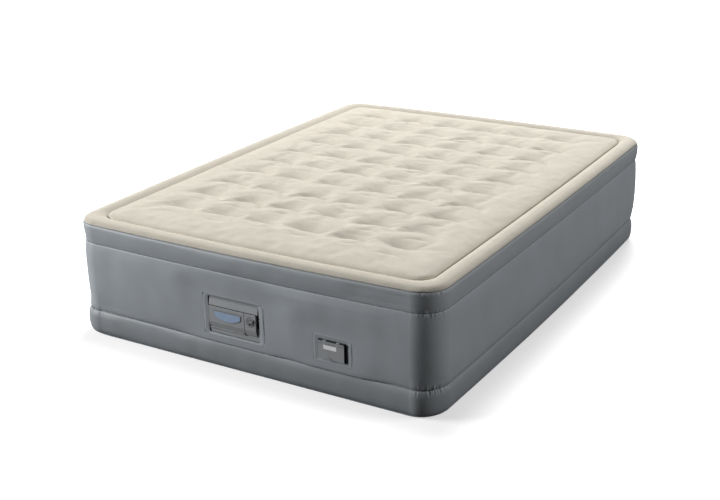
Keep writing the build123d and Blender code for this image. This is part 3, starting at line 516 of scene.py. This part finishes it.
def welt(name, inset, z, radius_out, radius_up, seed, slot, wander, *nodes):
    """A welded bead round the bed: an oval rope that wanders a little at the corners."""
    turns = np.linspace(0, 2 * math.pi, 12, endpoint=False)
    shift = pucker(seed, 0.017, wander)[None]
    across = radius_out * np.cos(turns)[:, None]
    up = radius_up * np.sin(turns)[:, None]
    points = BED.ring(inset - across + shift, z + up + shift * 0.5)
    quads = ring_quads(len(turns), COLUMNS, closed_section=True)
    return add_piece(name, points.reshape(-1, 3), quads, "bed", slot, *nodes)


base_band = band("base_band", BASE_SECTION, 44, 11, "grey_flock", "base_wall",
                 gather_high=0.0022)
# painted shade: the base band takes the darkened copy of the wall's grey
base_band.data.materials[0] = MATERIALS["grey_flock_shaded_base"]
main_wall()
band("upper_band", UPPER_SECTION, 34, 31, "grey_flock", "upper_wall", gather_low=0.0015,
     gather_high=0.0017, reach=0.016)
band("rim_roll", RIM_SECTION, 40, 41, "cream_flock", "rim_bolster", gather_low=0.0006,
     gather_high=0.0008)
welt("lower_welt", 0.0156, SEAM_LOW, 0.0022, 0.0010, 51, "grey_seam", 0.0010, "lower_seam")
welt("upper_welt", 0.0083, SEAM_HIGH, 0.0021, 0.0008, 52, "grey_seam", 0.0008, "upper_seam")
welt("rim_welt", 0.0072, RIM_WELD, 0.0034, 0.0009, 53, "grey_seam", 0.0003, "rim_weld")


# ------------------------------------------------------------------ quilted sleeping panel
def dimple_centres():
    for i in range(DIMPLES_ACROSS):
        for j in range(DIMPLES_ALONG):
            yield ((i - (DIMPLES_ACROSS - 1) / 2) * DIMPLE_PITCH_X,
                   (j - (DIMPLES_ALONG - 1) / 2) * DIMPLE_PITCH_Y + DIMPLE_SHIFT_Y)


def quilt_height(x, y, rng):
    """The panel's pulled-down shape before it is inflated, relative to its crest, and how much
    of it is drawn down by creases and folds."""
    drawn = np.zeros_like(x)
    for cx, cy in dimple_centres():
        deep = 1 + 0.10 * rng.normal()
        dx = x - cx - 0.006 * rng.normal()
        bow = CREASE_BOW + 0.004 * rng.normal()
        dy = y - cy - 0.05 * rng.normal() * dx + bow * (dx / CREASE_HALF) ** 2
        share = np.abs(dx) / CREASE_FADE
        far_reach = DIMPLE_PITCH_Y / 2 * (0.92 - 0.42 * np.clip(share, 0, 1.2) ** 2)
        near_reach = NEAR_REACH * (1 + 0.5 * np.clip(share, 0, 1.2) ** 2)
        off = np.hypot(dy / np.where(dy < 0, near_reach, far_reach),
                       0.015 + 0.12 * np.clip(share, 0, 1.6) ** 2)
        sharpness = np.where(dy < 0, 1.8, 2.1)
        drawn += CREASE_DEPTH * deep * np.clip(1 - off, 0, 1) ** sharpness * np.exp(-1.2 * share**2)
        for side in (-1, 1):
            for fan in (-0.7, 0.6):
                reach = side * dx - CREASE_HALF * 0.8
                line = dy - fan * reach * (1 + 0.3 * rng.normal())
                ray = np.exp(-((line / 0.0085) ** 2)) * bump(reach - 0.026, 0.040)
                drawn += RAY_DEPTH * ray * (reach > -0.02) * rng.uniform(0.3, 1.2)
        mid_x, mid_y = cx + 0.012 * rng.normal(), cy - DIMPLE_PITCH_Y / 2 + 0.006 * rng.normal()
        dx = x - mid_x
        dy = y - mid_y - rng.choice((-1, 1)) * 0.010 * (dx / 0.04) ** 2
        fold = np.exp(-np.abs(dy) / 0.009) * np.exp(-((dx / 0.042) ** 2))
        drawn += rng.uniform(0.4, 1.2) * FOLD_DEPTH * fold
        for _ in range(SMALL_FOLDS):
            dx = x - cx - rng.uniform(-0.09, 0.09)
            slant, arc = rng.uniform(-0.25, 0.25), rng.choice((-1, 1)) * 0.006
            dy = y - cy - rng.uniform(-0.07, 0.05) - slant * dx - arc * (dx / 0.04) ** 2
            fold = np.exp(-np.abs(dy) / 0.006) * np.exp(-((dx / rng.uniform(0.02, 0.045)) ** 2))
            drawn += rng.uniform(*SMALL_FOLD_DEPTHS) * fold
    drawn = np.minimum(drawn, CREASE_DEPTH)
    place = np.stack([x, y, np.zeros_like(x)], -1)
    long, short = SWELL_HEIGHTS
    swells = long * ripple(place, 0.20, 61) + short * ripple(place, 0.06, 62)
    wrinkles = WRINKLE_HEIGHT * ripple(place * (0.35, 1, 1), 0.028, 63)
    wrinkles = wrinkles * np.clip(drawn / 0.003, 0.2, 1)
    free = np.clip(1 - drawn / CREASE_DEPTH, 0, 1)
    return -drawn + (swells + wrinkles) * free, drawn


def round_corners(x, y, half_x, half_y, radius):
    """Moves a rectangular grid's corner squares onto quarter discs."""
    u = np.clip((np.abs(x) - (half_x - radius)) / radius, 0, None)
    v = np.clip((np.abs(y) - (half_y - radius)) / radius, 0, None)
    new_u, new_v = u * np.sqrt(1 - v * v / 2), v * np.sqrt(1 - u * u / 2)
    both = (u > 0) & (v > 0)
    x = np.where(both, np.sign(x) * (half_x - radius + radius * new_u), x)
    y = np.where(both, np.sign(y) * (half_y - radius + radius * new_v), y)
    return x, y


def evaluated_points(piece):
    mesh = piece.evaluated_get(bpy.context.evaluated_depsgraph_get()).data
    flat = np.zeros(len(mesh.vertices) * 3)
    mesh.vertices.foreach_get("co", flat)
    return flat.reshape(-1, 3)


def inflate(points, quads, pinned, pressure, growth, stiffness, bending, frames):
    """Cloth simulation of a sheet held at its pinned vertices and blown from below."""
    mesh = bpy.data.meshes.new("cloth")
    mesh.from_pydata(points.tolist(), [], quads.tolist())
    sheet = bpy.data.objects.new("cloth", mesh)
    scene = bpy.context.scene
    scene.collection.objects.link(sheet)
    group = sheet.vertex_groups.new(name="pinned")
    group.add([int(k) for k in np.nonzero(pinned)[0]], 1.0, "ADD")
    cloth = sheet.modifiers.new("Cloth", "CLOTH")
    cloth.settings.quality = 5
    cloth.settings.mass = 0.3
    cloth.settings.vertex_group_mass = "pinned"
    cloth.settings.use_pressure = True
    cloth.settings.uniform_pressure_force = pressure
    cloth.settings.shrink_min = -growth
    cloth.settings.tension_stiffness = stiffness
    cloth.settings.compression_stiffness = stiffness
    cloth.settings.shear_stiffness = stiffness / 3
    cloth.settings.bending_stiffness = bending
    cloth.settings.effector_weights.gravity = 0
    cloth.collision_settings.use_collision = False
    cloth.collision_settings.use_self_collision = False
    cloth.point_cache.frame_start, cloth.point_cache.frame_end = 1, frames
    for step in range(1, frames + 1):
        scene.frame_set(step)
    result = evaluated_points(sheet)
    scene.frame_set(1)
    bpy.data.objects.remove(sheet)
    bpy.data.meshes.remove(mesh)
    return result


def panel_shape(cell):
    """The panel as sewn, before it is blown up, as a grid: its points, how far it is drawn
    down, each point's distance from the edge, and where its columns and rows are."""
    half_x, half_y = HALF_RIM[0] - RIM_INSET, HALF_RIM[1] - RIM_INSET
    across, along = (
        np.linspace(-half, half, int(round(2 * half / cell)) + 1) for half in (half_x, half_y)
    )
    flat_x, flat_y = np.meshgrid(across, along, indexing="ij")
    edge = np.minimum(half_x - np.abs(flat_x), half_y - np.abs(flat_y))
    swell = np.sqrt(np.clip(1 - (1 - np.clip(edge / 0.030, 0, 1)) ** 2, 0, 1))
    height, drawn = quilt_height(flat_x, flat_y, np.random.default_rng(QUILT_SEED))
    x, y = round_corners(flat_x, flat_y, half_x, half_y, CORNER - RIM_INSET + ROUNDER * 0.056)
    z = PANEL_EDGE_Z + (PANEL_CREST_Z - PANEL_EDGE_Z) * swell + height * np.clip(edge / 0.06, 0, 1)
    x, y = (x + BOW_RIM[0] * x / half_x * (1 - (y / half_y) ** 2),
            y + BOW_RIM[1] * y / half_y * (1 - (x / half_x) ** 2))
    return np.stack([x, y, z], -1), drawn, edge, across, along


def finer_grid(field, across, along, new_across, new_along):
    """A grid of vectors carried from coarse columns and rows to fine ones, smoothly."""
    wide = np.empty((len(new_across), len(along), 3))
    for row in range(len(along)):
        for k in range(3):
            wide[:, row, k] = np.interp(new_across, across, field[:, row, k])
    fine = np.empty((len(new_across), len(new_along), 3))
    for column in range(len(new_across)):
        for k in range(3):
            fine[column, :, k] = np.interp(new_along, along, wide[column, :, k])
    for _ in range(4):
        fine[1:-1] = (fine[:-2] + 2 * fine[1:-1] + fine[2:]) / 4
        fine[:, 1:-1] = (fine[:, :-2] + 2 * fine[:, 1:-1] + fine[:, 2:]) / 4
    return fine


def blown_up():
    """How far each point of a coarse copy of the panel moves when cloth is blown up from
    below, with its border and its crease lines held down."""
    rest, _, edge, across, along = panel_shape(CLOTH_CELL)
    pinned = edge < CLOTH_CELL * 0.6
    for cx, cy in dimple_centres():
        pinned[:, np.argmin(np.abs(along - cy))] |= np.abs(across - cx) < CREASE_HALF
    flat = rest.reshape(-1, 3)
    move = inflate(flat, grid_quads(*edge.shape), pinned.ravel(), pressure=1.6, growth=0.004,
                   stiffness=15, bending=3.0, frames=14) - flat
    far = np.linalg.norm(move, axis=1)
    move *= np.minimum(1, MOST_RISE / np.maximum(far, 1e-9))[:, None]
    return move.reshape(rest.shape), across, along


def quilt():
    points, drawn, edge, across, along = panel_shape(QUILT_CELL)
    move = finer_grid(*blown_up(), across, along)
    loose = 1 - 0.85 * np.clip(drawn / CREASE_HOLD, 0, 1)
    loose *= 0.35 + 0.65 * np.clip(edge / 0.20, 0, 1)
    points += move * loose[..., None]
    verts, quads = shell(points.reshape(-1, 3), grid_quads(*edge.shape), SKIN)
    return add_piece("quilted_panel", verts, quads, "bed", "cream_flock", "top_sheet")


quilt()


# ------------------------------------------------------------------ patches round the units
def rounded_rectangle(half_x, half_z, radius, corner_steps=14, side_steps=24):
    """Anticlockwise points of a rounded rectangle seen from in front."""
    points = []
    for quarter, (sx, sz) in enumerate(((1, 1), (-1, 1), (-1, -1), (1, -1))):
        centre = np.array([sx * (half_x - radius), sz * (half_z - radius)])
        for k in range(corner_steps):
            turn = math.pi / 2 * (quarter + k / corner_steps)
            points.append(centre + radius * np.array([math.cos(turn), math.sin(turn)]))
        turn = math.pi / 2 * (quarter + 1)
        end = centre + radius * np.array([math.cos(turn), math.sin(turn)])
        nx, nz = ((-1, 1), (-1, -1), (1, -1), (1, 1))[quarter]
        nxt = np.array([nx * (half_x - radius), nz * (half_z - radius)])
        start = nxt + radius * np.array([math.cos(turn), math.sin(turn)])
        for k in range(side_steps):
            points.append(end + (start - end) * k / side_steps)
    return np.array(points)


# Rows of a patch, outer edge first: share of the way in, share of the step down, lift
PATCH_ROWS = (
    (0.0, 1.0, -0.0004), (0.06, 1.0, 0.0001), (0.20, 0.995, 0.0002), (0.36, 0.93, 0.0002),
    (0.50, 0.80, 0.0), (0.66, 0.58, 0.0), (0.80, 0.34, 0.0), (0.92, 0.13, 0.0), (1.0, 0.0, 0.0),
)


def patch(name, centre, outer, inner, radius, seat, lip, node):
    """A welded frame of sheet that runs from the wall's seat round a moulded unit to the unit's
    side. seat and lip are distances in front of DEVICE_Y."""
    sheet = []
    for share, height, lift in PATCH_ROWS:
        half = [o + (i - o) * share for o, i in zip(outer, inner)]
        corner = max(0.003, radius * (1 - 0.6 * share))
        x, z = (rounded_rectangle(*half, corner) + centre).T
        front = lip + (seat - lip) * height + lift
        sheet.append(np.column_stack([x, np.full(len(x), DEVICE_Y - front), z]))
    points = np.array(sheet)
    count = points.shape[1]
    verts, quads = shell(points.reshape(-1, 3), ring_quads(len(PATCH_ROWS), count), SKIN * 0.8)
    return add_piece(name, verts, quads, "bed", "grey_flock", node)


patch("pump_patch", (PUMP_X, PUMP_Z), PUMP_PATCH, (0.1073, 0.0688), 0.016, PUMP_SEAT, 0.0024,
      "pump_collar")
patch("port_patch", (PORT_X, PORT_Z), PORT_PATCH, (0.0554, 0.0344), 0.012, PORT_SEAT, 0.0046,
      "port_collar")


# ------------------------------------------------------------------ moulded parts
slot_of = {part["node"]: part["material_slot"] for part in frame["record"]["subparts"]}
for node, part in frame["nodes"].items():
    part.data.materials.clear()
    part.data.materials.append(MATERIALS[slot_of[node]])
    part.data.shade_smooth()

EDGE_SOFTENING = {
    "pump_faceplate": 0.0006, "cord_door": 0.0006, "door_badge": 0.0003,
    "selector_knob": 0.0007, "port_tub": 0.0005, "port_lid": 0.0008, "lid_label": 0.0002,
    "power_plug": 0.0012, "cord_tray": 0.0006,
}
for node, width in EDGE_SOFTENING.items():
    bevel = frame["nodes"][node].modifiers.new("edges", "BEVEL")
    bevel.width = width
    bevel.segments = 2
    bevel.limit_method = "ANGLE"
    bevel.angle_limit = math.radians(40)
    bevel.harden_normals = False


# ------------------------------------------------------------------ floor, light, camera
FLOOR_COLOUR, FLOOR_BOUNCE = (0.66, 0.64, 0.65), (0.11, 0.11, 0.11)
LIFT_NEAR, LIFT_FAR = 0.50, 1.0  # emission seen by the camera, beside the bed and well away; the weaker glow beside the bed paints shade round its foot, on top of the real shadow there
LIFT_REACH = (0.0, 0.25)  # distances outside the bed's box between which it rises
FLOOR_HALF = 40.0
FLOOR_DROP = 0.0004  # keeps the floor clear of the floor sheet's underside
LIGHT_TARGET = Vector((0, 0, 0.2))
WORLD_LEVEL = 0.065  # the camera itself sees the world at 1
CAMERA_AZIMUTH, CAMERA_ELEVATION, CAMERA_ROLL = 31.066, 20.925, -1.165  # degrees
CAMERA_TARGET, CAMERA_DISTANCE = (0.0528, -0.2891, 0.2300), 4.5419
CAMERA_LENS = 58.27  # millimetres


def floor_material():
    """A pale sweep that the camera sees lifted towards white, as a lit backdrop would be. The lift is
    weaker beside the bed, which paints a soft shade round its foot along with the real shadow it lets
    show.
    """
    material = bpy.data.materials.new("floor_white")
    tree, shader = nodes_of(material)
    seen = tree.nodes.new("ShaderNodeLightPath").outputs["Is Camera Ray"]
    shade = tree.nodes.new("ShaderNodeMix")
    shade.data_type = "RGBA"
    shade.inputs["A"].default_value = (*FLOOR_BOUNCE, 1)
    shade.inputs["B"].default_value = (*FLOOR_COLOUR, 1)
    tree.links.new(seen, shade.inputs["Factor"])
    grain = tree.nodes.new("ShaderNodeVectorMath")
    grain.operation = "SCALE"
    tree.links.new(shade.outputs["Result"], grain.inputs[0])
    tree.links.new(spread(tree, noise(tree, 20.0), 0.995, 1.005), grain.inputs["Scale"])
    tree.links.new(grain.outputs["Vector"], shader.inputs["Base Color"])
    place = tree.nodes.new("ShaderNodeTexCoord").outputs["Object"]
    for operation, amount in (("ABSOLUTE", None), ("SUBTRACT", (HALF_FLOOR[0], HALF_LENGTH, 0)),
                              ("MAXIMUM", (0, 0, 0))):
        step = tree.nodes.new("ShaderNodeVectorMath")
        step.operation = operation
        tree.links.new(place, step.inputs[0])
        if amount:
            step.inputs[1].default_value = amount
        place = step.outputs["Vector"]
    away = tree.nodes.new("ShaderNodeVectorMath")
    away.operation = "LENGTH"
    tree.links.new(place, away.inputs[0])
    # painted shade: the camera's lift rises from LIFT_NEAR beside the bed to LIFT_FAR away from it,
    # darkening the floor round the bed
    rise = tree.nodes.new("ShaderNodeMapRange")
    rise.interpolation_type = "SMOOTHSTEP"
    rise.inputs["From Min"].default_value, rise.inputs["From Max"].default_value = LIFT_REACH
    rise.inputs["To Min"].default_value, rise.inputs["To Max"].default_value = LIFT_NEAR, LIFT_FAR
    tree.links.new(away.outputs["Value"], rise.inputs["Value"])
    lift = tree.nodes.new("ShaderNodeMath")
    lift.operation = "MULTIPLY"
    tree.links.new(seen, lift.inputs[0])
    tree.links.new(rise.outputs["Result"], lift.inputs[1])
    shader.inputs["Emission Color"].default_value = (1, 1, 1, 1)
    tree.links.new(lift.outputs["Value"], shader.inputs["Emission Strength"])
    shader.inputs["Roughness"].default_value = 0.9
    shader.inputs["Specular IOR Level"].default_value = 0.0
    return material


floor_mesh = bpy.data.meshes.new("floor")
floor_mesh.from_pydata(
    [(x * FLOOR_HALF, y * FLOOR_HALF, 0) for x, y in ((-1, -1), (1, -1), (1, 1), (-1, 1))],
    [], [(0, 1, 2, 3)],
)
floor = bpy.data.objects.new("floor", floor_mesh)
floor.location.z = -FLOOR_DROP
bpy.context.scene.collection.objects.link(floor)
floor_mesh.materials.append(floor_material())


def direction(azimuth, elevation):
    """From the bed towards a bearing in degrees. Azimuth 0 is in front of the -Y end."""
    a, e = math.radians(azimuth), math.radians(elevation)
    return Vector((math.sin(a) * math.cos(e), -math.cos(a) * math.cos(e), math.sin(e)))


def soft_light(name, azimuth, elevation, distance, size, power):
    """A round area light that faces a point above the bed's centre."""
    light = bpy.data.lights.new(name, "AREA")
    light.shape = "DISK"
    light.size = size
    light.energy = power
    lamp = bpy.data.objects.new(name, light)
    back = direction(azimuth, elevation)
    lamp.location = LIGHT_TARGET + back * distance
    lamp.rotation_euler = back.to_track_quat("Z", "Y").to_euler()
    bpy.context.scene.collection.objects.link(lamp)


soft_light("front_left", -57, 20, 8.0, 3.8, 650)
soft_light("back_right", 113, 25, 25.0, 12.5, 2650)
soft_light("back_left", -165, 35, 8.0, 4.5, 740)

world = bpy.data.worlds.new("studio")
bpy.context.scene.world = world
world.use_nodes = True
background = world.node_tree.nodes["Background"]
background.inputs["Color"].default_value = (1, 1, 1, 1)
seen = world.node_tree.nodes.new("ShaderNodeLightPath")
level = world.node_tree.nodes.new("ShaderNodeMapRange")
level.inputs["To Min"].default_value = WORLD_LEVEL
level.inputs["To Max"].default_value = 1.0
world.node_tree.links.new(seen.outputs["Is Camera Ray"], level.inputs["Value"])
world.node_tree.links.new(level.outputs["Result"], background.inputs["Strength"])

camera_data = bpy.data.cameras.new("camera")
camera = bpy.data.objects.new("camera", camera_data)
bpy.context.scene.collection.objects.link(camera)
back = direction(CAMERA_AZIMUTH, CAMERA_ELEVATION)
camera.location = Vector(CAMERA_TARGET) + back * CAMERA_DISTANCE
camera.rotation_mode = "QUATERNION"
camera.rotation_quaternion = Quaternion(back, math.radians(CAMERA_ROLL)) @ back.to_track_quat("Z", "Y")
camera_data.lens = CAMERA_LENS
bpy.context.scene.camera = camera
bpy.context.scene.view_settings.view_transform = "Standard"
bpy.context.scene.view_settings.look = "None"
